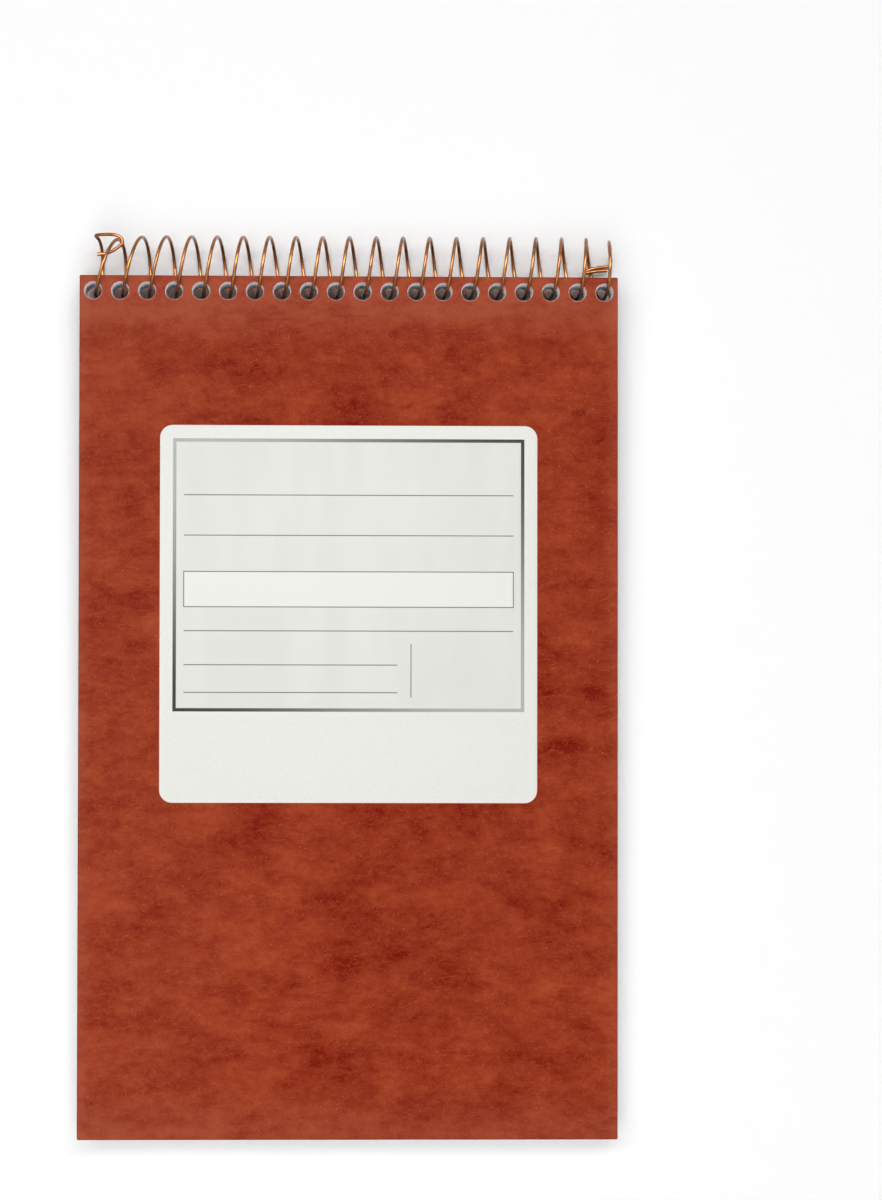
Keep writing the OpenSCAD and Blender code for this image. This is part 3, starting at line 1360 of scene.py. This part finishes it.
    def build(self) -> tuple[bpy.types.Object, ...]:
        """Draws the three pieces of the wire.

        Returns:
            The front arcs inside the sheets, the front runs and the back runs.
        """
        last = self.sizes.hole_count - 1
        loops = range(last + 1)
        turn = self.cover_angle
        back = [self.arc(loop, 0.0, -math.pi, self.back_spans) for loop in range(last)]
        back.append(self.arc(last, 0.0, self.finish_angle, self.finish_spans))
        strands = {
            "wire_inside": [self.arc(loop, math.pi, turn, self.inside_spans) for loop in loops],
            "wire_front": [self.arc(loop, turn, 0.0, self.run_spans) for loop in loops],
            "wire_back": [*back, self.start_strand(), self.finish_strand()],
        }
        return tuple(self.sweep(name, lengths) for name, lengths in strands.items())

    def dress(self, pieces: Sequence[bpy.types.Object], copper: bpy.types.Material) -> None:
        """Gives the wire its finish and settles it in the row frame.

        Args:
            pieces: The three pieces that build made.
            copper: Finish of the wire.
        """
        sizes = self.sizes
        low = (sizes.coil_y - sizes.arc_reach, 0.0)
        far = (sizes.coil_y + 2 * sizes.coil_radius + sizes.arc_reach, 0.0)
        ends = (((sizes.coil_y, sizes.half_pad), (sizes.coil_y, 0.0)), (low, far), (far, low))
        for piece, (start, end) in zip(pieces, ends):
            coat(piece, copper)
            settle(piece, sizes)
            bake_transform(piece)
            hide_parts("wire_coil")


@dataclass(frozen=True)
class Lamp:
    """One soft area lamp."""

    name: str
    place: Triple
    aim: Triple
    size: Pair
    power: float
    shine_only: bool = False


@dataclass
class Studio:
    """Camera, lamps, pale surroundings and floor."""

    lens: float = 83.0
    sensor: float = 36.0
    shift: Pair = (0.078, 0.0625)
    camera_place: Triple = (-13.354 * MM, -18.445 * MM, 661.239 * MM)
    camera_turn: Triple = (1.8025, -1.155, 0.0877)
    ambient: float = 0.93
    horizon: float = 0.06
    horizon_band: Pair = (0.55, 0.9)
    floor_side: float = 6.0
    floor_gap: float = 0.02 * MM
    floor_colour: Colour = (0.99, 0.99, 0.99, 1.0)
    floor_fade: Pair = (0.35, 1.3)
    lamps: tuple[Lamp, ...] = field(
        default_factory=lambda: (
            Lamp("key", (-0.1, 0.4, 1.08), (0.0, 0.05, 0.0), (1.8, 0.16), 5.4),
            Lamp("fill", (-0.1, -0.6, 1.05), (0.0, 0.0, 0.0), (0.8, 0.8), 5.0),
            Lamp("shine", (-0.1, 0.4, 1.08), (0.0, 0.05, 0.0), (1.4, 0.5), 36.0, shine_only=True),
        )
    )

    def set_camera(self) -> None:
        """Places the camera where the photograph was taken from."""
        bpy.ops.object.select_all(action="DESELECT")
        turn = [math.radians(angle) for angle in self.camera_turn]
        bpy.ops.object.camera_add(location=self.camera_place, rotation=turn)
        camera = bpy.context.active_object
        camera.data.lens = self.lens
        camera.data.sensor_width = self.sensor
        camera.data.shift_x, camera.data.shift_y = self.shift
        camera.data.clip_start = 0.01
        bpy.context.scene.camera = camera

    def set_lamps(self) -> None:
        """Hangs the soft lamps."""
        for lamp in self.lamps:
            bpy.ops.object.select_all(action="DESELECT")
            bpy.ops.object.light_add(type="AREA", location=lamp.place)
            light = bpy.context.active_object
            light.name = lamp.name
            aim = Vector(lamp.aim) - Vector(lamp.place)
            light.rotation_euler = aim.to_track_quat("-Z", "Y").to_euler()
            light.data.shape = "RECTANGLE"
            light.data.size, light.data.size_y = lamp.size
            light.data.energy = lamp.power
            light.visible_camera = False
            light.visible_diffuse = not lamp.shine_only

    def set_world(self) -> None:
        """Makes the surroundings white to look at, and as light soft and mostly from above."""
        world = bpy.data.worlds.new("pale_room")
        bpy.context.scene.world = world
        world.use_nodes = True
        world.node_tree.nodes.clear()
        desk = NodeDesk(world.node_tree)
        soft, plain = (desk.add("ShaderNodeBackground") for _ in range(2))
        for ground in (soft, plain):
            ground.inputs["Color"].default_value = WHITE
            ground.inputs["Strength"].default_value = 1.0
        up = desk.parts(desk.add("ShaderNodeTexCoord").outputs["Generated"])[2]
        rise = desk.band(up, *self.horizon_band, self.horizon, self.ambient)
        desk.join(rise, soft.inputs["Strength"])
        mixed = desk.mix_shaders(desk.seen(), soft.outputs["Background"], plain.outputs["Background"])
        desk.join(mixed, desk.add("ShaderNodeOutputWorld").inputs["Surface"])

    def set_floor(self) -> None:
        """Lays the pale floor, which takes the pad's shadow and fades to plain white far from it."""
        bpy.ops.object.select_all(action="DESELECT")
        bpy.ops.mesh.primitive_plane_add(size=self.floor_side, location=(0, 0, -self.floor_gap))
        floor = bpy.context.active_object
        floor.name = "floor"
        material = bpy.data.materials.new("pale_floor")
        material.use_nodes = True
        desk = NodeDesk(material.node_tree)
        shader = desk.tree.nodes["Principled BSDF"]
        shader.inputs["Base Color"].default_value = self.floor_colour
        shader.inputs["Roughness"].default_value = 1.0
        shader.inputs["Specular IOR Level"].default_value = 0.0
        reach = desk.add("ShaderNodeVectorMath")
        reach.operation = "LENGTH"
        desk.join(desk.add("ShaderNodeTexCoord").outputs["Object"], reach.inputs[0])
        share = desk.math("MULTIPLY", desk.band(reach.outputs["Value"], *self.floor_fade), desk.seen())
        plain = desk.add("ShaderNodeEmission")
        mixed = desk.mix_shaders(share, shader.outputs["BSDF"], plain.outputs["Emission"])
        desk.join(mixed, desk.tree.nodes["Material Output"].inputs["Surface"])
        floor.data.materials.append(material)

    def build(self) -> None:
        """Sets up the whole studio."""
        bpy.context.scene.view_settings.view_transform = "Standard"
        self.set_camera()
        self.set_lamps()
        self.set_world()
        self.set_floor()


def report(*pieces: bpy.types.Object) -> None:
    """Logs the size of finished pieces.

    Args:
        pieces: The pieces.
    """
    for piece in pieces:
        piece.data.calc_loop_triangles()
        LOG.info("%s: %d triangles", piece.name, len(piece.data.loop_triangles))


def main() -> None:
    """Builds and dresses the pad piece by piece."""
    logging.basicConfig(level=logging.INFO)
    sizes = PadSizes()
    Studio().build()
    pressboard = PressboardFinish().make(sizes)
    rim = CutRimFinish().make(sizes)
    for cover in (
        Cover(sizes, "front_board", Body.FRONT, sizes.half_block, sizes.half_pad),
        Cover(sizes, "back_board", Body.BACK, -sizes.half_pad, -sizes.half_block),
    ):
        board = cover.build()
        cover.dress(board, pressboard, rim)
        report(board)
    block = SheetBlock(sizes)
    stack = block.build()
    block.dress(stack, PaperFinish().make(sizes))
    report(stack)
    label = Label(sizes)
    sticker = label.build()
    label.dress(sticker, LabelFinish().make(sizes))
    report(sticker)
    coil = WireCoil(sizes)
    wires = coil.build()
    coil.dress(wires, WireFinish().make(sizes))
    report(*wires)


if __name__ == "__main__":
    main()
